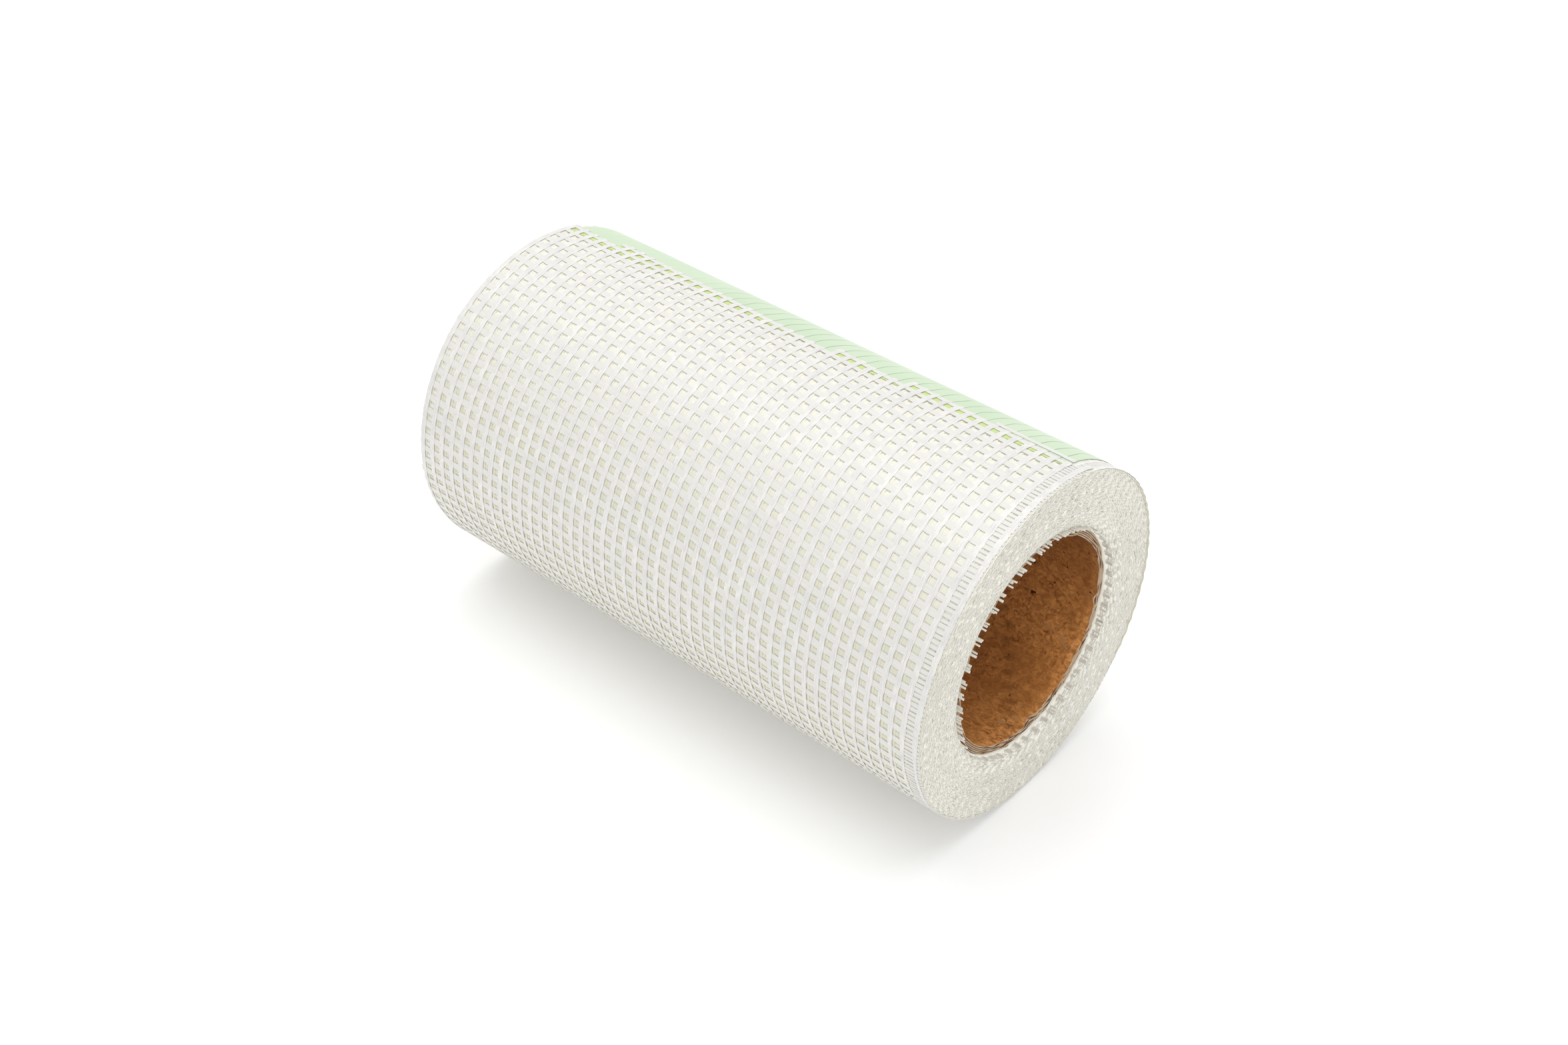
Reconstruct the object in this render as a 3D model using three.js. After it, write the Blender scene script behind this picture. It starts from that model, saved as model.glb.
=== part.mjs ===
// A roll of self-adhesive fiberglass mesh on a cardboard core, lying on its side.
// Millimetres, +Z up. The roll's axis runs along X. The origin is on the floor, under the middle of the roll.
import * as THREE from 'three';

// Wound mesh
const rollLength = 150; // width of the mesh band, cut end to cut end
const rollRadius = 42; // from the axis to the outer turn
const edgeChamfer = 0.8; // outer turn's edges, drawn in by the selvedge
const shownTurns = 9; // rings seen on each end, each of them several turns of mesh
const turnGroove = 0.7; // depth of the groove between two rings
const grooveWidth = 0.5; // width of that groove at the face

// Cardboard core
const coreBore = 25; // radius of the hole through the core
const coreWall = 2;
const coreRecess = 2; // how far the core's ends lie inside the ends of the mesh

// Film strip at the free end of the mesh
const tabWidth = 30; // measured round the roll
const tabThickness = 0.2;
const tabFarInset = 1.6; // from the far end of the roll, at -X
const tabNearInset = 4.5; // from the near end of the roll, at +X
const tabEdgeAngle = 72; // degrees from +Y towards +Z, to the strip's front edge

// Shared
const seatGap = 0.3; // between pieces that touch
const facets = 48; // flats round the roll, with one of them at the bottom
const stripFacets = 24; // flats across the film strip

const coreRadius = coreBore + coreWall;
const meshBore = coreRadius + seatGap;
const halfLength = rollLength / 2;
const halfFacet = Math.PI / facets;
const cornerFactor = 1 / Math.cos(halfFacet); // corner radius over flat radius

// Turns the axes so that a lathe's axis, Y, runs along X, and its angle goes from +Y to +Z.
const latheToRoll = new THREE.Matrix4().makeBasis(
  new THREE.Vector3(0, 0, 1),
  new THREE.Vector3(1, 0, 0),
  new THREE.Vector3(0, 1, 0),
);

// Turns the axes so that an outline drawn in X and Y lies in Y and Z, and its depth runs along X.
const outlineToRoll = new THREE.Matrix4().makeBasis(
  new THREE.Vector3(0, 1, 0),
  new THREE.Vector3(0, 0, 1),
  new THREE.Vector3(1, 0, 0),
);

// A ring turned round the roll's axis. The profile is a closed list of [radius to the flats, place along the axis].
function turnedRing(profile) {
  const points = profile.map(([radius, place]) => new THREE.Vector2(radius * cornerFactor, place));
  points.push(points[0].clone());
  return new THREE.LatheGeometry(points, facets, halfFacet).applyMatrix4(latheToRoll);
}

// Half of the wound mesh's profile: one end with its rings, from the bore out to the outer turn.
function woundEnd(end) {
  const inwards = -Math.sign(end);
  const ringWidth = (rollRadius - meshBore) / shownTurns;
  const points = [[meshBore, end]];
  for (let ring = 1; ring < shownTurns; ring += 1) {
    const groove = meshBore + ring * ringWidth;
    points.push([groove - grooveWidth / 2, end]);
    points.push([groove, end + inwards * turnGroove]);
    points.push([groove + grooveWidth / 2, end]);
  }
  points.push([rollRadius - edgeChamfer, end]);
  points.push([rollRadius, end + inwards * edgeChamfer]);
  return points;
}

// The wound mesh, from the bore of its far end round to the bore of its near end.
function meshRollGeometry() {
  return turnedRing([...woundEnd(-halfLength), ...woundEnd(halfLength).reverse()]);
}

// The cardboard core, a plain tube.
function coreTubeGeometry() {
  const coreEnd = halfLength - coreRecess;
  return turnedRing([
    [coreBore, -coreEnd],
    [coreRadius, -coreEnd],
    [coreRadius, coreEnd],
    [coreBore, coreEnd],
  ]);
}

// The film strip, a thin sheet bent round the outer turn, seatGap clear of its corners.
function endTabGeometry() {
  const inner = rollRadius * cornerFactor + seatGap;
  const outer = inner + tabThickness;
  const frontAngle = THREE.MathUtils.degToRad(tabEdgeAngle);
  const backAngle = frontAngle - tabWidth / inner;
  const outline = new THREE.Shape();
  outline.absarc(0, 0, outer, backAngle, frontAngle, false);
  outline.absarc(0, 0, inner, frontAngle, backAngle, true);
  outline.closePath();
  const length = rollLength - tabFarInset - tabNearInset;
  const strip = new THREE.ExtrudeGeometry(outline, {
    depth: length,
    bevelEnabled: false,
    curveSegments: stripFacets,
  });
  strip.translate(0, 0, tabFarInset - halfLength);
  return strip.applyMatrix4(outlineToRoll);
}

function piece(name, geometry, color, roughness) {
  const material = new THREE.MeshStandardMaterial({ color, roughness, metalness: 0 });
  const mesh = new THREE.Mesh(geometry, material);
  mesh.name = name;
  mesh.position.z = rollRadius;
  return mesh;
}

const roll = new THREE.Group();
roll.add(piece('mesh_roll', meshRollGeometry(), '#dedbd2', 0.6));
roll.add(piece('core_tube', coreTubeGeometry(), '#8a5427', 0.9));
roll.add(piece('end_tab', endTabGeometry(), '#d6ecd0', 0.4));

export default roll;
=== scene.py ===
import math

import bpy
import numpy as np
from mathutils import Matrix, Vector


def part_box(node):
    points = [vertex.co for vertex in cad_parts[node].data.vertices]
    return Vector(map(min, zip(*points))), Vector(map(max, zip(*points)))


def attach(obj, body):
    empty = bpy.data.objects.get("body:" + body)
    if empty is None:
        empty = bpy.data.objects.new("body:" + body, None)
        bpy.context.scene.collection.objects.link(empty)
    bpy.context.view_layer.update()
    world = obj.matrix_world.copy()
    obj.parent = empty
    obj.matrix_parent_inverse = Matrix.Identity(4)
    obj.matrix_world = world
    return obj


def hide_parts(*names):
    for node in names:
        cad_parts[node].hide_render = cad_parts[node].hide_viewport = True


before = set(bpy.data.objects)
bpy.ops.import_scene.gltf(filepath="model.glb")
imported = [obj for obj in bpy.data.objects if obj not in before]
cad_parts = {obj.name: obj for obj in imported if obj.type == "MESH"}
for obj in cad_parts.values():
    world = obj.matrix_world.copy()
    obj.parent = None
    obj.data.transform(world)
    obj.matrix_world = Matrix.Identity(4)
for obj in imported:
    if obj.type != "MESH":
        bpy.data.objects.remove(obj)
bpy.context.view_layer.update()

MM = 0.001

# Cardboard core
# A tube of brown kraft paper wound in a spiral from glued plies. The mesh is wound onto it, and it ends a
# little inside the mesh. Its cut ends show the grey edges of the plies, with a few nicks.

core_low, core_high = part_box("core_tube")
axis_height = (core_low.z + core_high.z) / 2
core_outer = (core_high.z - core_low.z) / 2
core_end = core_high.x
core_wall = 2.0 * MM
core_inner = core_outer - core_wall
ply_count = 5


def on_roll(place, angle, radius):
    """Points at a place along the roll's axis, at an angle from the back over the top, and a radius from the
    axis: (place, radius times the angle's cosine, axis height plus radius times its sine)."""
    place, angle, radius = np.broadcast_arrays(place, angle, radius)
    return np.stack([place, radius * np.cos(angle), axis_height + radius * np.sin(angle)], -1)


def waves(seed, count, *directions):
    """A smooth random surface between about -1 and 1: the mean of sine waves, each a sine of a random
    weighted sum of the given coordinates, which are already divided by the length over which they should
    vary."""
    draw = np.random.default_rng(seed)
    total = 0
    for _ in range(count):
        weights = draw.normal(0, 1, len(directions))
        phase = draw.uniform(0, 2 * np.pi)
        total = total + np.sin(sum(w * d for w, d in zip(weights, directions)) * 2 * np.pi + phase)
    return total / math.sqrt(count / 2) / 1.6


def make_piece(name, points, along, material, attributes=(), ring_closed=False, crisp=()):
    """Builds one object from n strands. points has the shape (n, steps, corners, 3): each strand is a tube,
    with the given corners round its section at each step. Four-sided faces join neighbouring corners and
    steps, and faces across the section close both ends, or the last step joins the first where the ring is
    closed. The shading is smooth but for the ends and the edges along the crisp corners. The UV map holds the
    length along the strand in metres and the share of the way round its section."""
    n, steps, corners, _ = points.shape
    index = np.arange(n * steps * corners, dtype=np.int32).reshape(n, steps, corners)
    along = np.broadcast_to(along, (n, steps, corners)).astype(np.float32)
    around = np.broadcast_to(np.arange(corners, dtype=np.float32) / corners, (n, steps, corners))
    last = steps if ring_closed else steps - 1
    a, b = index[:, :last], np.roll(index, -1, 1)[:, :last]
    ua, ub = along[:, :last], np.roll(along, -1, 1)[:, :last]
    va, vb = around[:, :last], around[:, :last] + 1 / corners
    faces = [np.stack([a, np.roll(a, -1, 2), np.roll(b, -1, 2), b], -1).reshape(-1, 4)]
    uvs = [np.stack([ua, va, ua, vb, ub, vb, ub, va], -1).reshape(-1, 4, 2)]
    if not ring_closed:
        i = np.arange(corners // 2 - 1)
        cap = np.stack([i, i + 1, corners - 2 - i, corners - 1 - i], -1)
        for step, order in ((0, cap[:, ::-1]), (steps - 1, cap)):
            faces.append(index[:, step][:, order].reshape(-1, 4))
            uvs.append(np.stack([along[:, step][:, order], around[:, step][:, order]], -1).reshape(-1, 4, 2))
    rounded = np.repeat([True] + [False] * (len(faces) - 1), [len(part) for part in faces])
    faces, uvs = np.concatenate(faces), np.concatenate(uvs)

    mesh = bpy.data.meshes.new(name)
    mesh.vertices.add(points.size // 3)
    mesh.vertices.foreach_set("co", points.astype(np.float32).ravel())
    mesh.loops.add(faces.size)
    mesh.loops.foreach_set("vertex_index", faces.astype(np.int32).ravel())
    mesh.polygons.add(len(faces))
    mesh.polygons.foreach_set("loop_start", np.arange(0, faces.size, 4, dtype=np.int32))
    mesh.update(calc_edges=True)
    mesh.polygons.foreach_set("use_smooth", rounded)
    ends = np.empty(len(mesh.edges) * 2, np.int32)
    mesh.edges.foreach_get("vertices", ends)
    ends = ends.reshape(-1, 2)
    lengthwise = np.abs(ends[:, 0] - ends[:, 1]) == corners
    mesh.edges.foreach_set("use_edge_sharp", lengthwise & np.isin(ends[:, 0] % corners, crisp))
    mesh.uv_layers.new(name="strand").data.foreach_set("uv", uvs.astype(np.float32).ravel())
    for title, values in attributes:
        values = np.broadcast_to(values, (n, steps, corners)).astype(np.float32)
        mesh.attributes.new(title, "FLOAT", "POINT").data.foreach_set("value", values.ravel())
    mesh.materials.append(material)
    mesh.validate()

    piece = bpy.data.objects.new(name, mesh)
    bpy.context.scene.collection.objects.link(piece)
    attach(piece, "root")
    return piece


def new_material(name):
    """A material with an empty node tree, its Principled shader and its output already joined."""
    material = bpy.data.materials.new(name)
    material.use_nodes = True
    tree = material.node_tree
    tree.nodes.clear()
    shader = tree.nodes.new("ShaderNodeBsdfPrincipled")
    output = tree.nodes.new("ShaderNodeOutputMaterial")
    tree.links.new(shader.outputs["BSDF"], output.inputs["Surface"])
    return material, tree, shader


def add_node(tree, kind, **settings):
    """Adds a shader node. A setting that names one of its inputs by title is put there, as a value or as a
    link where it is another node's output, and any other setting is a property of the node."""
    node = tree.nodes.new("ShaderNode" + kind)
    for title, value in settings.items():
        if hasattr(node, title):
            setattr(node, title, value)
    for title, value in settings.items():
        if hasattr(node, title):
            continue
        place = int(title[1:]) if title[0] == "i" and title[1:].isdigit() else title.replace("_", " ")
        if isinstance(value, bpy.types.NodeSocket):
            tree.links.new(value, node.inputs[place])
        else:
            node.inputs[place].default_value = value
    return node


def blend_colours(tree, share, first, second):
    """A colour that goes from the first to the second as the share goes from 0 to 1."""
    node = tree.nodes.new("ShaderNodeMix")
    node.data_type = "RGBA"
    for place, value in ((0, share), (6, first), (7, second)):
        if isinstance(value, bpy.types.NodeSocket):
            tree.links.new(value, node.inputs[place])
        else:
            node.inputs[place].default_value = value
    return node.outputs[2]


def stretch(tree, value, low, high):
    """A mask that goes from 0 to 1 as the value goes from low to high."""
    node = add_node(tree, "MapRange", Value=value, From_Min=low, From_Max=high)
    return node.outputs["Result"]


def kraft_paper():
    """Brown kraft paper: fibres that run with the seam, from dark to light brown, under paler and redder
    clouds and a few dark specks. The bore is darkened by painted shade towards its upper wall and inwards,
    where little light falls. The cut edges are grey, in bands from ply to ply."""
    material, tree, shader = new_material("kraft_paper")
    place = add_node(tree, "TexCoord").outputs["Object"]
    fibres = add_node(tree, "Mapping", Vector=place, Scale=(620, 800, 800))
    fibre = add_node(tree, "TexNoise", Vector=fibres.outputs[0], Scale=1.0, Detail=6.0, Roughness=0.7,
                     Distortion=1.2)
    clouds = add_node(tree, "TexNoise", Vector=place, Scale=75.0, Detail=4.0, Roughness=0.6)
    specks = add_node(tree, "TexNoise", Vector=place, Scale=620.0, Detail=2.0)
    pale = add_node(tree, "TexNoise", Vector=fibres.outputs[0], Scale=0.33, Detail=3.0, Distortion=2.0)
    colour = blend_colours(tree, stretch(tree, fibre.outputs["Fac"], 0.32, 0.68),
                           (0.26, 0.080, 0.015, 1), (1.0, 0.46, 0.14, 1))
    cloudy = stretch(tree, clouds.outputs["Fac"], 0.45, 0.8)
    colour = blend_colours(tree, cloudy, colour, (0.46, 0.18, 0.045, 1))
    faded = stretch(tree, pale.outputs["Fac"], 0.66, 0.76)
    colour = blend_colours(tree, faded, colour, (0.50, 0.32, 0.17, 1))
    specked = stretch(tree, specks.outputs["Fac"], 0.70, 0.76)
    colour = blend_colours(tree, specked, colour, (0.055, 0.018, 0.005, 1))
    seam = add_node(tree, "Attribute", attribute_name="seam").outputs["Fac"]
    colour = blend_colours(tree, seam, colour, (0.085, 0.032, 0.010, 1))
    apart = add_node(tree, "SeparateXYZ", Vector=place)
    # Painted shade: the bore darkens towards its upper wall and inwards from the ends, where little light
    # falls.
    upper = stretch(tree, apart.outputs[2], axis_height - 14 * MM, axis_height + 18 * MM)
    upper = add_node(tree, "Math", operation="MULTIPLY", i0=upper, i1=0.88)
    colour = blend_colours(tree, upper.outputs[0], colour, (0.12, 0.032, 0.005, 1))
    inward = add_node(tree, "Math", operation="ABSOLUTE", i0=apart.outputs[0])
    inward = stretch(tree, inward.outputs[0], 45 * MM, 5 * MM)
    inward = add_node(tree, "Math", operation="MULTIPLY", i0=inward, i1=0.6)
    colour = blend_colours(tree, inward.outputs[0], colour, (0.06, 0.017, 0.004, 1))
    cut = add_node(tree, "Attribute", attribute_name="cut").outputs["Fac"]
    ply = add_node(tree, "Attribute", attribute_name="ply").outputs["Fac"]
    grey = blend_colours(tree, stretch(tree, ply, 0.35, 0.85), (0.62, 0.47, 0.33, 1), (0.13, 0.062, 0.028, 1))
    colour = blend_colours(tree, cut, colour, grey)
    tree.links.new(colour, shader.inputs["Base Color"])
    shader.inputs["Roughness"].default_value = 0.82
    shader.inputs["Specular IOR Level"].default_value = 0.15
    bump = add_node(tree, "Bump", Height=fibre.outputs["Fac"], Strength=0.5, Distance=0.25 * MM)
    tree.links.new(bump.outputs[0], shader.inputs["Normal"])
    return material


def core_tube_points(turns=200, bore_steps=64, edge_steps=22, wall_steps=4):
    """A closed ring of surface: the bore from the far end to the near end, the near cut edge outwards, the
    outside back, and the far cut edge inwards. The bore is round, with a shallow swell, and the spiral seam
    of its inner ply is a step of a few hundredths of a millimetre. The cut edges are rough by 0.2 mm, and
    torn in places."""
    inside = np.linspace(-1, 1, bore_steps)
    edge = np.linspace(0, 1, edge_steps + 2)[1:-1]
    outside = np.linspace(1, -1, wall_steps)
    place = np.concatenate([inside, np.ones(edge_steps), outside, -np.ones(edge_steps)])
    depth = np.concatenate([np.zeros(bore_steps), edge, np.ones(wall_steps), edge[::-1]])
    angle = np.linspace(0, 2 * np.pi, turns, endpoint=False)
    place, angle = np.meshgrid(place, angle, indexing="ij")
    depth = np.broadcast_to(depth[:, None], place.shape)
    swell = waves(11, 9, np.cos(angle), np.sin(angle), place * 0.6) * 0.12 * MM
    seam_turns = 0.62
    seam_pitch = ((angle / (2 * np.pi) + place * seam_turns + 0.16) % 1.0 - 0.5) * 2 * np.pi * core_inner
    seam = 0.5 * np.exp(-((seam_pitch / (0.9 * MM)) ** 2)) * (depth < 0.01)
    step = 0.05 * MM * np.tanh(seam_pitch / (0.3 * MM)) * np.exp(-((seam_pitch / (4 * MM)) ** 2))
    step = step * (depth < 0.01)
    radius = core_inner + depth * (core_wall - 0.05 * MM) + swell * (1 - depth) + step
    ends = np.abs(place) > 0.999
    rough = waves(12, 14, np.cos(angle) * 6, np.sin(angle) * 6, depth * 2.5, place)
    torn = np.clip(waves(13, 10, np.cos(angle) * 2.2, np.sin(angle) * 2.2, place) - 0.35, 0, 1) * (1 - depth)
    length = core_end - ends * (0.22 * MM * (rough + 1) + 1.1 * MM * torn)
    cut = ends * np.clip(depth * 16, 0, 1)
    uneven = 0.35 * waves(14, 8, np.cos(angle), np.sin(angle), place)
    ply = 0.5 + 0.5 * np.cos(2 * np.pi * (depth * ply_count + uneven))
    length = length - ends * 0.14 * MM * ply
    points = on_roll(np.sign(place) * np.where(ends, length, np.abs(place) * core_end), angle, radius)
    return points[None], cut[None], seam[None], ply[None]


core_points, core_cut, core_seam, core_ply = core_tube_points()
core_strides = np.diff(core_points[:, :, :1], axis=1, prepend=core_points[:, :1, :1])
core_along = np.cumsum(np.linalg.norm(core_strides, axis=-1), 1)
core_piece = make_piece("core_paper", core_points, core_along, kraft_paper(),
                        [("cut", core_cut), ("seam", core_seam), ("ply", core_ply)], ring_closed=True)
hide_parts("core_tube")

# Buried turns of the mesh
# The band is wound on itself some seventy times. Under the outer two turns, of which the second is made here
# too, it is one turned body with the pattern of the mesh on its surface, and painted shade in its holes.

roll_low, roll_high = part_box("mesh_roll")
roll_end = roll_high.x
roll_radius = (roll_high.z - roll_low.z) / 2
warp_pitch = 3.29 * MM
weft_pitch = 3.325 * MM
warp_pairs = 46
turn_gap = 0.23 * MM
outer_mid = roll_radius - 0.36 * MM
free_end = math.radians(67)  # round the roll from the back over the top, like all its angles
weft_skew = 0.085
turn_length = 2 * np.pi * outer_mid - np.pi * turn_gap
buried_depth = 0.36 * MM + 0.35 * MM
weft_thickness = 0.14 * MM
weft_pinch = 0.1
warp_lift = 0.09 * MM
pair_spread = 0.38 * MM  # from the middle of a warp pair to each of its yarns


def band_angle(length):
    """The angle round the roll at a length along the band from its free end. The band is a spiral whose
    radius falls by turn_gap each turn, so length = radius x turned - gap x turned^2 / (4 pi), which is solved
    for turned."""
    gap = turn_gap / (2 * np.pi)
    return (outer_mid - np.sqrt(np.maximum(outer_mid ** 2 - 2 * gap * length, 0))) / gap


def band_radius(length):
    """The radius at that length: the spiral's, raised over the film strip at the free end by 0.13 mm, which
    dies away round the third row."""
    raised = 0.13 * MM / (1 + np.exp((length - 8 * MM) / MM))
    return outer_mid - turn_gap * band_angle(length) / (2 * np.pi) + raised


def weft_shift(place, length):
    """How far a weft row is drawn along the band at a place across it: the weave's even skew, a slow bow that
    comes again with each turn, so that the rows of one turn lie in the gaps of the next, and a finer
    waviness."""
    slow = waves(21, 7, place / 0.19, length % turn_length / 0.33) * 0.85 * MM
    nested = waves(23, 7, place / 0.07, length / 0.06) * 0.20 * MM * (length > turn_length)
    fine = waves(22, 9, place / 0.021, length / 0.031) * 0.10 * MM
    return weft_skew * place + slow + nested + fine


def band_wander(length):
    """How far the band lies to the side at a length along it, because each turn is laid a little beside the
    last: two thirds of a millimetre a turn, and a small waver."""
    return 0.66 * MM * length / turn_length - 0.3 * MM + 0.1 * MM * np.sin(2 * np.pi * length / 0.17)


def yarn_filaments():
    """A node group for bundles of glass filaments: fine streaks along the strand, patches where the binder
    lies thick, and the normal that the streaks give. The UV map is in metres along and shares round."""
    group = bpy.data.node_groups.new("yarn_filaments", "ShaderNodeTree")
    for title, kind, start in (("Streaks", "NodeSocketFloat", 10.0), ("Relief", "NodeSocketFloat", 0.5)):
        group.interface.new_socket(title, in_out="INPUT", socket_type=kind).default_value = start
    results = (("Streak", "NodeSocketFloat"), ("Binder", "NodeSocketFloat"), ("Normal", "NodeSocketVector"))
    for title, kind in results:
        group.interface.new_socket(title, in_out="OUTPUT", socket_type=kind)
    inputs, outputs = group.nodes.new("NodeGroupInput"), group.nodes.new("NodeGroupOutput")
    uv = add_node(group, "SeparateXYZ", Vector=add_node(group, "TexCoord").outputs["UV"])
    number = add_node(group, "Attribute", attribute_name="own").outputs["Fac"]
    along = add_node(group, "Math", operation="MULTIPLY", i0=uv.outputs[0], i1=260.0)
    across = add_node(group, "Math", operation="MULTIPLY", i0=uv.outputs[1], i1=inputs.outputs["Streaks"])
    own = add_node(group, "Math", operation="MULTIPLY", i0=number, i1=97.0)
    vector = add_node(group, "CombineXYZ", i0=along.outputs[0], i1=across.outputs[0], i2=own.outputs[0])
    streak = add_node(group, "TexNoise", Vector=vector.outputs[0], Scale=1.0, Detail=3.0, Roughness=0.6)
    place = add_node(group, "TexCoord").outputs["Object"]
    binder = add_node(group, "TexNoise", Vector=place, Scale=260.0, Detail=3.0, Roughness=0.6)
    bump = add_node(group, "Bump", Strength=inputs.outputs["Relief"], Distance=0.12 * MM,
                    Height=streak.outputs["Fac"])
    group.links.new(streak.outputs["Fac"], outputs.inputs["Streak"])
    group.links.new(binder.outputs["Fac"], outputs.inputs["Binder"])
    group.links.new(bump.outputs[0], outputs.inputs["Normal"])
    return group


filaments = yarn_filaments()


def glass_yarn(name, light, dark, binder_tint, streaks=10.0, relief=0.5, roughness=0.42, coat=0.0,
               painted_glow=0.05, stray=0.0, shaded=0.0):
    """Bundled glass filaments: streaks from light to dark along the strand, tinted where the binder lies
    thick. A few stray strands are duller. Shaded yarns turn olive away from the roll's top in painted shade,
    standing in for light that falls in at a slant there. The yarn also glows faintly in its own colour,
    painted light for the light scattered through the glass."""
    material, tree, shader = new_material(name)
    group = tree.nodes.new("ShaderNodeGroup")
    group.node_tree = filaments
    group.inputs["Streaks"].default_value = streaks
    group.inputs["Relief"].default_value = relief
    colour = blend_colours(tree, stretch(tree, group.outputs["Streak"], 0.3, 0.7), dark, light)
    colour = blend_colours(tree, stretch(tree, group.outputs["Binder"], 0.48, 0.72), colour, binder_tint)
    own = add_node(tree, "Attribute", attribute_name="own").outputs["Fac"]
    dull = add_node(tree, "MapRange", Value=own, From_Min=1 - stray, From_Max=1.001 - stray / 2, To_Max=0.42)
    colour = blend_colours(tree, dull.outputs[0], colour, (0.40, 0.39, 0.30, 1))
    # Painted shade: the yarn turns olive away from the roll's top, where light falls in at a slant.
    height = add_node(tree, "SeparateXYZ", Vector=add_node(tree, "TexCoord").outputs["Object"]).outputs[2]
    slant = stretch(tree, height, axis_height + 38 * MM, axis_height + 20 * MM)
    slant = add_node(tree, "Math", operation="MULTIPLY", i0=slant, i1=shaded)
    colour = blend_colours(tree, slant.outputs[0], colour, (0.42, 0.39, 0.22, 1))
    tree.links.new(colour, shader.inputs["Base Color"])
    tree.links.new(group.outputs["Normal"], shader.inputs["Normal"])
    shader.inputs["Roughness"].default_value = roughness
    shader.inputs["Coat Weight"].default_value = coat
    shader.inputs["Coat Roughness"].default_value = 0.25
    # Painted light: the yarn glows faintly in its own colour, for light scattered through the glass.
    tree.links.new(colour, shader.inputs["Emission Color"])
    shader.inputs["Emission Strength"].default_value = painted_glow
    return material


def buried_mesh_material():
    """The pattern of the mesh: rows and pairs by the distance along the axis and round the roll, with holes
    between them painted olive as shade, and paler on top as painted light, where light falls straight in. The
    surface glows faintly in its own colour, painted light that fills the shade between the turns. The ends
    are plain off-white."""
    material, tree, shader = new_material("buried_mesh")
    uv = add_node(tree, "SeparateXYZ", Vector=add_node(tree, "TexCoord").outputs["UV"])
    rows_round = float(round(turn_length / weft_pitch))
    row = add_node(tree, "Math", operation="MULTIPLY", i0=uv.outputs[1], i1=rows_round)
    skewed = add_node(tree, "Math", operation="MULTIPLY_ADD", i0=uv.outputs[0], i1=-weft_skew / weft_pitch,
                      i2=row.outputs[0])
    pair = add_node(tree, "Math", operation="MULTIPLY", i0=uv.outputs[0], i1=1 / warp_pitch)
    from_row = add_node(tree, "Math", operation="PINGPONG", i0=skewed.outputs[0], i1=0.5)
    from_pair = add_node(tree, "Math", operation="PINGPONG", i0=pair.outputs[0], i1=0.5)
    off_row = stretch(tree, from_row.outputs[0], 0.26, 0.34)
    off_pair = stretch(tree, from_pair.outputs[0], 0.15, 0.22)
    hole = add_node(tree, "Math", operation="MULTIPLY", i0=off_row, i1=off_pair)
    # Painted shade in the holes: olive, and paler towards the top, where light falls straight in.
    height = add_node(tree, "SeparateXYZ", Vector=add_node(tree, "TexCoord").outputs["Object"]).outputs[2]
    top = stretch(tree, height, axis_height + 22 * MM, axis_height + 38 * MM)
    deep = blend_colours(tree, top, (0.56, 0.53, 0.34, 1), (0.76, 0.75, 0.60, 1))
    colour = blend_colours(tree, hole.outputs[0], (0.78, 0.77, 0.68, 1), deep)
    face = add_node(tree, "Attribute", attribute_name="face").outputs["Fac"]
    colour = blend_colours(tree, face, colour, (0.80, 0.79, 0.71, 1))
    tree.links.new(colour, shader.inputs["Base Color"])
    # Painted light: the surface glows faintly in its own colour, filling the shade between the turns.
    tree.links.new(colour, shader.inputs["Emission Color"])
    shader.inputs["Emission Strength"].default_value = 0.18
    shader.inputs["Roughness"].default_value = 0.7
    return material


def face_depth(radius):
    """How deep the roll's end lies at a radius: flat, but dished round the core, where the winding is loose.
    The depth falls from 1.6 mm at the core to nothing 3.4 mm further out."""
    return 1.6 * MM * np.clip(1 - (radius - core_outer) / (3.4 * MM), 0, 1) ** 1.2


def buried_turns_points(turns=180):
    """A closed ring of surface: the inside against the core, the near end, the outside, and the far end. The
    ends lie a third of a millimetre under the dished face that the cut weft makes."""
    inner, outer = core_outer + 0.04 * MM, roll_radius - buried_depth
    share = np.linspace(0, 1, 44)
    rings = 0.04 * MM * np.sin(share * 2 * np.pi * 25)
    depth = face_depth(inner + (outer - inner) * share) + 0.3 * MM + rings
    near = roll_end - depth
    radius = np.concatenate([np.full(6, inner), inner + (outer - inner) * share, np.full(40, outer),
                             (inner + (outer - inner) * share)[::-1]])
    place = np.concatenate([np.linspace(-1, 1, 8)[1:-1] * near[0], near,
                            np.linspace(1, -1, 42)[1:-1] * near[-1], -near[::-1]])
    angle = np.linspace(0, 2 * np.pi, turns, endpoint=False)
    face = (radius < outer - 0.05 * MM)[None, :, None]
    return on_roll(place[:, None], angle[None, :], radius[:, None])[None], place[None, :, None], face


buried_points, buried_along, buried_face = buried_turns_points()
buried = make_piece("buried_turns", buried_points, buried_along, buried_mesh_material(),
                    [("face", buried_face)], ring_closed=True)
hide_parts("mesh_roll")


def round_section(corners, width, height):
    """The corners of an oval section that fills the given width and height: sideways and outwards
    distances."""
    turn = (np.arange(corners) + 0.5) * 2 * np.pi / corners
    side, up = np.cos(turn), np.sin(turn)
    return side / side.max() * width / 2, up / up.max() * height / 2


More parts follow.
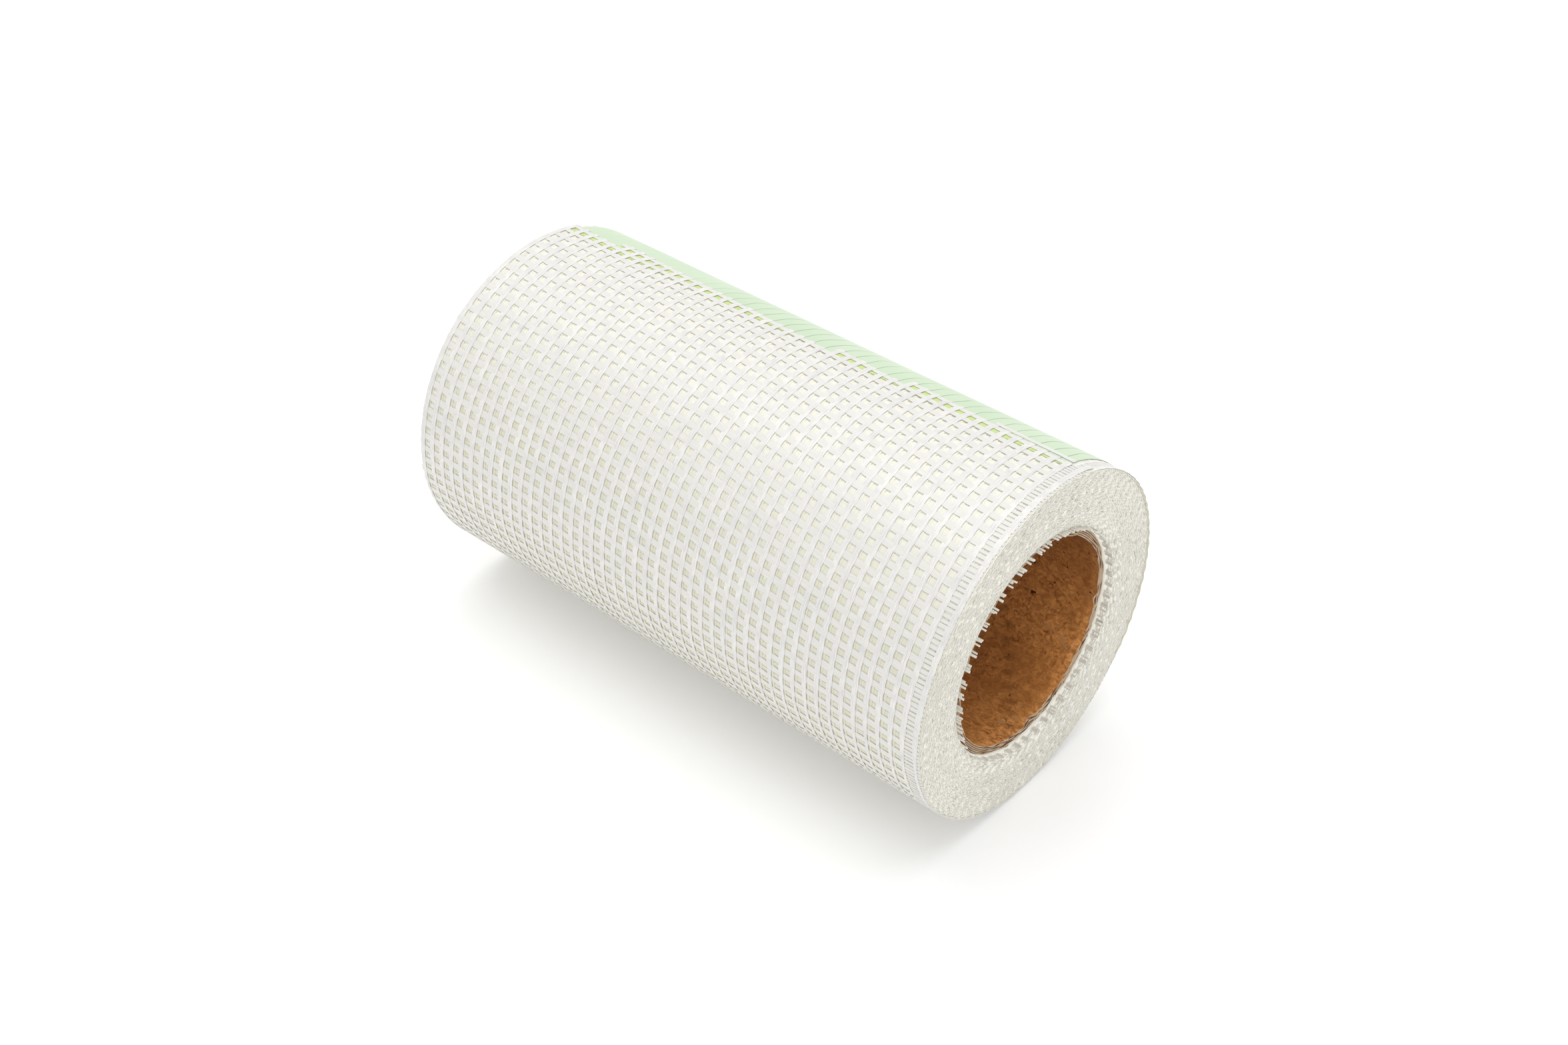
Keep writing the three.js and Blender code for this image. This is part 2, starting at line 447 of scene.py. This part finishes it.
def weft_rows(first, last, cell_steps, corners, width, thickness, pinch, start_at=None, near_cut=0.15 * MM):
    """Weft rows from one length along the band to another. Each row is a flat bundle that runs across the
    band, on a spiral radius, pinched narrower and thicker where a warp pair grips it. With start_at, the
    place where each row starts is given by where the row crosses the band's cut end."""
    rows = np.arange(math.ceil(first / weft_pitch), math.floor(last / weft_pitch) + 1)
    steps = (warp_pairs - 1) * cell_steps + 3
    share = np.linspace(0, 1, steps)[None, :]
    length = (rows * weft_pitch)[:, None]
    draw = np.random.default_rng(31 + len(rows) + cell_steps)
    cuts = np.array([0.15 * MM, near_cut])[:, None, None]
    tips = roll_end - cuts + draw.normal(0, 0.16 * MM, (2, len(rows), 1))
    tips = np.minimum(tips, roll_end + 0.1 * MM)
    start = -tips[0] if start_at is None else np.maximum(-tips[0], start_at(rows)[:, None])
    place = start + (tips[1] - start) * share
    keep = (tips[1] - start)[:, 0] > 2 * MM
    rows, place, length = rows[keep], place[keep], length[keep]
    at = length + weft_shift(place, length)
    angle, radius = free_end + band_angle(at), band_radius(at)
    grip = np.cos((place - band_wander(at)) / warp_pitch * 2 * np.pi + np.pi) * 0.5 + 0.5
    uneven = 1 + 0.10 * waves(32, 8, place / 0.012, length / 0.004)
    wide = width * uneven * (1 - pinch * grip)
    thick = thickness * (1 + 0.35 * grip)
    side, up = round_section(corners, 1, 1)
    side, up = wide[..., None] * side, thick[..., None] * up
    points = on_roll(place[..., None], angle[..., None] - side / radius[..., None], radius[..., None] + up)
    own = draw.random(len(rows))[:, None, None]
    return points, place[..., None] + rows[:, None, None] * 0.37, own


def warp_yarns(first, last, row_steps, corners, width, thickness, lift, spread, members=(0, 1),
               first_at=None):
    """Warp yarns from one length along the band to another, two to a pair. One lies over every weft row and
    the other dives under it, and the two draw together sideways between rows, as in a leno weave: the first
    stands out by lift, and the second by lift times the cosine of the row's phase, turned round so that it is
    lowest on the row. Low on the front and under the roll the band is pulled tight, and each pair draws
    together into one narrow cord. Over the top the yarns lie flatter by up to three tenths."""
    pair = np.repeat(np.arange(warp_pairs) - (warp_pairs - 1) / 2, len(members))
    member = np.tile(np.array(members), warp_pairs)
    steps = int((last - first) / weft_pitch * row_steps) + 1
    across = pair * warp_pitch
    start = np.full(len(pair), first) if first_at is None else first_at(across)
    at = start[:, None] + (last - start)[:, None] * np.linspace(0, 1, steps)[None, :]
    across = np.broadcast_to(across[:, None], at.shape)
    place = across + band_wander(at) + waves(41, 8, across / 0.02, at / 0.045) * 0.10 * MM
    place = np.clip(place, 0.55 * MM - roll_end, roll_end - 0.55 * MM)
    phase = (at - weft_shift(place, at)) / weft_pitch * 2 * np.pi
    sign = np.where(member == 0, 1, -1)[:, None]
    angle = free_end + band_angle(at)
    tight_from, tight_to, fade = math.radians(176), math.radians(330), math.radians(14)
    round_roll = angle % (2 * np.pi)
    tight = np.clip((round_roll - tight_from) / fade, 0, 1) * np.clip((tight_to - round_roll) / fade, 0, 1)
    sideways = sign * spread * (0.94 + 0.12 * np.cos(phase)) + 0.05 * MM * np.cos(phase)
    place = place + sideways * (1 - 0.55 * tight)
    rise = np.where(member[:, None] == 0, 1.1 + 0.2 * np.cos(phase), 0.35 - 0.85 * np.cos(phase))
    rise = rise * (1 - 0.3 * np.clip((np.sin(angle) - 0.6) / 0.3, 0, 1))
    radius = band_radius(at) + lift * (rise + 0.4 * tight)
    side, up = round_section(corners, width, thickness)
    side = side * np.where(member == 0, 1.15, 1.0)[:, None, None] * (1 - 0.4 * tight[..., None])
    up = up * (1 + 0.8 * tight[..., None])
    points = on_roll(place[..., None] + side, angle[..., None], radius[..., None] + up)
    own = np.random.default_rng(42).random(len(pair))[:, None, None]
    return points, at[..., None], own


# The second turn's yarn has a stronger painted glow than the outer turn's, and painted shade away from the
# top.
deep_yarn = glass_yarn("glass_yarn_deep", light=(0.77, 0.76, 0.685, 1), dark=(0.72, 0.71, 0.625, 1),
                       binder_tint=(0.74, 0.73, 0.625, 1), streaks=7.0, relief=0.2, roughness=0.5, painted_glow=0.13,
                       shaded=0.30)
points, along, own = weft_rows(turn_length, 2 * turn_length, cell_steps=2, corners=4, width=1.62 * MM,
                               thickness=weft_thickness, pinch=weft_pinch)
make_piece("second_turn_weft", points, along, deep_yarn, [("own", own)], crisp=range(4))
points, along, own = warp_yarns(turn_length, 2 * turn_length, row_steps=2, corners=4, width=0.66 * MM,
                                thickness=0.10 * MM, lift=warp_lift, spread=pair_spread)
make_piece("second_turn_warp", points, along, deep_yarn, [("own", own)], crisp=range(4))

# Film strip at the free end
# A thin pale green film. Its front edge is stuck under the mesh's free end, and the rest lies on the turn
# below, whose warp yarns press fine ridges into it. It marks the end and gives a clean hold.

tab_low, tab_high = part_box("end_tab")
tab_width = 30 * MM
tab_front = math.radians(76)
tab_back = math.radians(72) - tab_width / roll_radius
tab_thickness = 0.06 * MM
# The cut, in millimetres along the axis and degrees round the roll
cut_outline = [(-75, 71.9), (-67, 70.3), (-58, 69.0), (-38, 69.2), (-24, 71.0), (4, 71.6), (14, 72.0),
               (18, 71.2), (26, 70.2), (42, 69.6), (75, 70.4)]


def cut_length(place):
    """The length along the band, before or past its nominal free end, at which the cut lies at a place across
    it."""
    places, degrees = np.array(cut_outline).T
    return (np.radians(np.interp(place, places * MM, degrees)) - free_end) * outer_mid


def first_row(place):
    """The length along the band of the first row that the cut left, at a place across it: the row's number is
    the cut's length less the row's shift, over the pitch, rounded up."""
    shift = weft_shift(place, cut_length(place))
    return np.ceil((cut_length(place) - shift) / weft_pitch) * weft_pitch + shift


def green_film():
    """Pale green film, a little cloudy, with a thin dark line of painted shade where it bends over each warp
    pair of the turn below. Where the mesh covers it, it is painted a deeper yellow-green, the shade and tint
    of the film seen in the mesh's shadow."""
    material, tree, shader = new_material("green_film")
    place = add_node(tree, "TexCoord").outputs["Object"]
    cloud = add_node(tree, "TexNoise", Vector=place, Scale=60.0, Detail=3.0)
    grain = add_node(tree, "TexNoise", Vector=place, Scale=2200.0, Detail=2.0)
    colour = blend_colours(tree, stretch(tree, cloud.outputs["Fac"], 0.3, 0.7),
                           (0.56, 0.70, 0.49, 1), (0.60, 0.73, 0.53, 1))
    # Painted shade: a thin dark line along each ridge over a warp pair.
    warp_place = add_node(tree, "Attribute", attribute_name="warp_place").outputs["Fac"]
    strength = add_node(tree, "Attribute", attribute_name="strength").outputs["Fac"]
    off = add_node(tree, "Math", operation="PINGPONG", i0=warp_place, i1=0.5)
    line = stretch(tree, off.outputs[0], 0.055, 0.0)
    line = add_node(tree, "Math", operation="MULTIPLY", i0=line, i1=strength)
    colour = blend_colours(tree, line.outputs[0], colour, (0.16, 0.25, 0.18, 1))
    # Painted shade: deeper yellow-green where the film lies in the mesh's shadow.
    under = add_node(tree, "Attribute", attribute_name="covered").outputs["Fac"]
    colour = blend_colours(tree, under, colour, (0.58, 0.72, 0.27, 1))
    tree.links.new(colour, shader.inputs["Base Color"])
    shader.inputs["Roughness"].default_value = 0.42
    bump = add_node(tree, "Bump", Height=grain.outputs["Fac"], Strength=0.12, Distance=0.1 * MM)
    tree.links.new(bump.outputs[0], shader.inputs["Normal"])
    return material


def film_strip_points(length_steps=380, width_steps=30):
    """A thin closed sheet. It lies a hair above the yarns of the turn below, and rises over each warp pair by
    a low ridge; both faces follow the same height, a film's thickness apart."""
    place = np.linspace(tab_low.x, tab_high.x, length_steps)[:, None]
    share = np.linspace(0, 1, width_steps)[None, :]
    edge = 0.35 * MM * waves(51, 8, place / 0.03)
    angle = tab_front + edge / roll_radius + (tab_back - tab_front) * share
    lying_on = turn_length * (1 - (free_end - angle) / (2 * np.pi))
    waver = 0.07 * waves(52, 8, place / 0.012, angle * 3)
    warp_place = (place - band_wander(lying_on)) / warp_pitch + 0.5 + waver
    strength = np.clip(0.45 + 0.5 * waves(53, 9, place / 0.05, angle * 2.2) + place / 0.12, 0.03, 1)
    off = (warp_place - np.round(warp_place)) * warp_pitch
    ridge = np.exp(-((off / (0.3 * MM)) ** 2)) * strength
    lying = outer_mid - turn_gap * (1 - (free_end - angle) / (2 * np.pi)) + 0.19 * MM
    swell = 0.02 * MM * waves(54, 9, place / 0.03, angle * 4)
    height = lying + swell + 0.025 * MM * ridge
    top = on_roll(place, angle, height + tab_thickness)[:, ::-1]
    bottom = on_roll(place, angle, height)
    under_mesh = (angle - free_end) * outer_mid - first_row(place)
    covered = np.clip(under_mesh / (0.4 * MM), 0, 1)
    marks = [("warp_place", warp_place), ("strength", strength), ("covered", covered)]
    marks = [(title, np.concatenate([value, value[:, ::-1]], 1)[None]) for title, value in marks]
    return np.concatenate([bottom, top], 1)[None], place[None, :, :], marks


film_points, film_along, film_marks = film_strip_points()
film = make_piece("film_strip", film_points, film_along, green_film(), film_marks)
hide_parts("end_tab")

# Outer turn of the mesh
# Open leno weave of coated glass: flat weft bundles gripped by pairs of thin warp yarns that twist over and
# under them. The free end was cut by hand, roughly along a row, and lies on the film's front edge.

def row_start(rows):
    """Where each row begins: the last place across the band at which the row still lies behind the cut."""
    place = np.linspace(-roll_end, roll_end, 301)[None, :]
    length = (rows * weft_pitch)[:, None]
    gone = length + weft_shift(place, length) < cut_length(place)
    last_gone = np.where(gone.any(1), gone.shape[1] - 1 - gone[:, ::-1].argmax(1), 0)
    return np.where(gone.any(1), place[0, last_gone], -2 * roll_end)


def warp_start(across):
    """Warp yarns stick out past the first row left on them by up to half a millimetre."""
    return first_row(across) - np.random.default_rng(61).uniform(0.9 * MM, 1.4 * MM, len(across))


fresh_yarn = glass_yarn("glass_yarn", light=(0.755, 0.745, 0.708, 1), dark=(0.68, 0.67, 0.635, 1),
                        binder_tint=(0.71, 0.70, 0.65, 1), streaks=12.0, relief=0.25, roughness=0.4)
warp_yarn = glass_yarn("glass_yarn_warp", light=(0.86, 0.85, 0.815, 1), dark=(0.60, 0.593, 0.59, 1),
                       binder_tint=(0.81, 0.80, 0.76, 1), streaks=15.0, relief=0.3, roughness=0.35, coat=0.1,
                       painted_glow=0.03)
points, along, own = weft_rows(-10 * MM, turn_length, cell_steps=3, corners=6, width=1.65 * MM,
                               thickness=weft_thickness, pinch=weft_pinch, start_at=row_start,
                               near_cut=4.1 * MM)
make_piece("outer_turn_weft", points, along, fresh_yarn, [("own", own)], crisp=(0, 2, 3, 5))
for title, members in (("outer_turn_warp_over", (0,)), ("outer_turn_warp_under", (1,))):
    points, along, own = warp_yarns(0, turn_length, row_steps=4, corners=4, width=0.7 * MM,
                                    thickness=0.09 * MM, lift=warp_lift, spread=pair_spread,
                                    members=members, first_at=warp_start)
    make_piece(title, points, along, warp_yarn, [("own", own)], crisp=range(4))

# Cut ends of the weft
# A blade slit the band to width, so each weft bundle ends just past the last warp pair. Wound up, the ends of
# all the turns stand side by side as a dense brush, which is the flat face of the roll.

wound_turns = 75


def weft_tufts(side, first_turn, last_turn, split, spacing, width, uneven, reach, proud=None):
    """The cut ends on one side, for some of the turns counted from the outside. Every row of the whole band
    is placed by the spiral of the wound roll, and its end is split into flat strands that lie side by side.
    Each strand is a four-sided stick from inside the face out to the cut, leaning a little, with tips that
    differ by the uneven length; with proud, they all stand that far out of the face's dish."""
    draw = np.random.default_rng(71 + int(side) + int(first_turn))
    inner, outer = core_outer + 0.25 * MM, outer_mid - 0.06 * MM
    gap = (outer - inner) / wound_turns / (2 * np.pi)
    total = (outer ** 2 - inner ** 2) / (2 * gap)
    length = np.arange(0, total, weft_pitch)
    radius = np.sqrt(outer ** 2 - 2 * gap * length)
    turn = (outer - radius) / gap / (2 * np.pi)
    chosen = (turn >= first_turn) & (turn < last_turn)
    shift = weft_shift(np.full(chosen.sum(), side * (roll_end - 2 * MM)), length[chosen])
    angle = free_end + (turn[chosen] * 2 * np.pi) + shift / radius[chosen]
    radius, angle = np.repeat(radius[chosen], split), np.repeat(angle, split)
    count = len(radius)
    loose = 0.25 + 0.75 * np.clip(1 - (radius - inner) / (5 * MM), 0, 1)
    offset = np.tile((np.arange(split) - (split - 1) / 2) * spacing, count // split)
    angle = angle + (offset + draw.normal(0, uneven, count)) / radius
    lean_side = draw.normal(0, 0.8 * uneven, count) * loose / radius
    lean_out = draw.normal(0, 0.5 * uneven, count) * loose
    dish = face_depth(radius) if proud is None else -proud
    tip = roll_end - dish - np.abs(draw.normal(0, uneven, count)) * (0.5 + loose) - 0.04 * MM
    place = np.stack([np.full(count, roll_end - reach), tip], 1)
    angles = np.stack([angle, angle + lean_side], 1)
    radii = np.clip(np.stack([radius, radius + lean_out], 1), inner, roll_radius - 0.2 * MM)
    wide = width * draw.uniform(0.8, 1.2, (count, 1, 1))
    thick = draw.uniform(0.18, 0.28, (count, 1, 1)) * MM
    across, up = round_section(4, 1, 1)
    across, up = side * wide * across, thick * up
    angles, radii = angles[..., None], radii[..., None]
    points = on_roll(side * place[..., None], angles - across / radii, radii + up)
    return points, place[..., None] + draw.random((count, 1, 1)), draw.random((count, 1, 1))


tuft_yarn = glass_yarn("glass_yarn_cut", light=(0.81, 0.79, 0.74, 1), dark=(0.72, 0.705, 0.645, 1),
                       binder_tint=(0.74, 0.725, 0.655, 1), streaks=6.0, relief=0.2, roughness=0.5,
                       stray=0.10)
for title, side in (("near_end", 1), ("far_end", -1)):
    points, along, own = weft_tufts(side, 1, wound_turns - 1.2, split=2, spacing=0.78 * MM, width=0.78 * MM,
                                    uneven=0.12 * MM, reach=3.4 * MM)
    make_piece(title + "_tufts", points, along, tuft_yarn, [("own", own)], crisp=range(4))
    points, along, own = weft_tufts(side, wound_turns - 1.2, wound_turns + 1, split=3, spacing=0.52 * MM,
                                    width=0.44 * MM, uneven=0.2 * MM, reach=4 * MM, proud=0.25 * MM)
    make_piece(title + "_teeth", points, along, tuft_yarn, [("own", own)], crisp=range(4))
points, along, own = weft_tufts(1, 0, 1, split=3, spacing=weft_pitch / 3, width=0.78 * MM, uneven=0.05 * MM,
                                reach=4.3 * MM)
make_piece("near_selvedge", points, along, fresh_yarn, [("own", own)], crisp=range(4))

# Floor, light and camera
# A plain pale floor that glows faintly, like a lit table, under a large soft overhead light and an even white
# surrounding. The camera stands where the photograph was taken from, before the near end and above.

floor_mesh = bpy.data.meshes.new("floor")
reach = 6.0
floor_mesh.from_pydata([(-reach, -reach, 0), (reach, -reach, 0), (reach, reach, 0), (-reach, reach, 0)], [],
                       [(0, 1, 2, 3)])
floor = bpy.data.objects.new("floor", floor_mesh)
bpy.context.scene.collection.objects.link(floor)
floor_paint, floor_tree, floor_shader = new_material("pale_floor")
floor_shader.inputs["Base Color"].default_value = (0.95, 0.95, 0.95, 1)
floor_shader.inputs["Roughness"].default_value = 0.9
floor_shader.inputs["Emission Color"].default_value = (1, 1, 1, 1)
floor_shader.inputs["Emission Strength"].default_value = 0.1
floor_mesh.materials.append(floor_paint)

world = bpy.data.worlds.new("studio")
world.use_nodes = True
world.node_tree.nodes["Background"].inputs["Color"].default_value = (1, 1, 1, 1)
world.node_tree.nodes["Background"].inputs["Strength"].default_value = 0.76
bpy.context.scene.world = world
bpy.context.scene.view_settings.view_transform = "Standard"


def softbox(name, position, target, size, power):
    """A square area light that faces the target."""
    light = bpy.data.lights.new(name, "AREA")
    light.shape = "SQUARE"
    light.size = size
    light.energy = power
    lamp = bpy.data.objects.new(name, light)
    bpy.context.scene.collection.objects.link(lamp)
    lamp.location = position
    direction = (np.array(target) - np.array(position)).tolist()
    lamp.rotation_mode = "QUATERNION"
    lamp.rotation_quaternion = Vector(direction).to_track_quat("-Z", "Y")
    return lamp


softbox("overhead_softbox", position=(-0.2, 0.1, 2.2), target=(0, 0, 0.04), size=2.2, power=27)

camera_azimuth = math.radians(40.82)
camera_height = math.radians(38.51)
camera_distance = 11.87 * roll_radius
aim = np.array([0.1391 * roll_radius, -0.0822 * roll_radius, roll_radius])
back = np.array([math.sin(camera_azimuth) * math.cos(camera_height),
                 -math.cos(camera_azimuth) * math.cos(camera_height), math.sin(camera_height)])
camera = bpy.data.objects.new("camera", bpy.data.cameras.new("camera"))
bpy.context.scene.collection.objects.link(camera)
camera.data.sensor_width = 36
camera.data.lens = 50.0
camera.location = aim + back * camera_distance
camera.rotation_euler = (math.pi / 2 - camera_height, 0, camera_azimuth)
bpy.context.scene.camera = camera
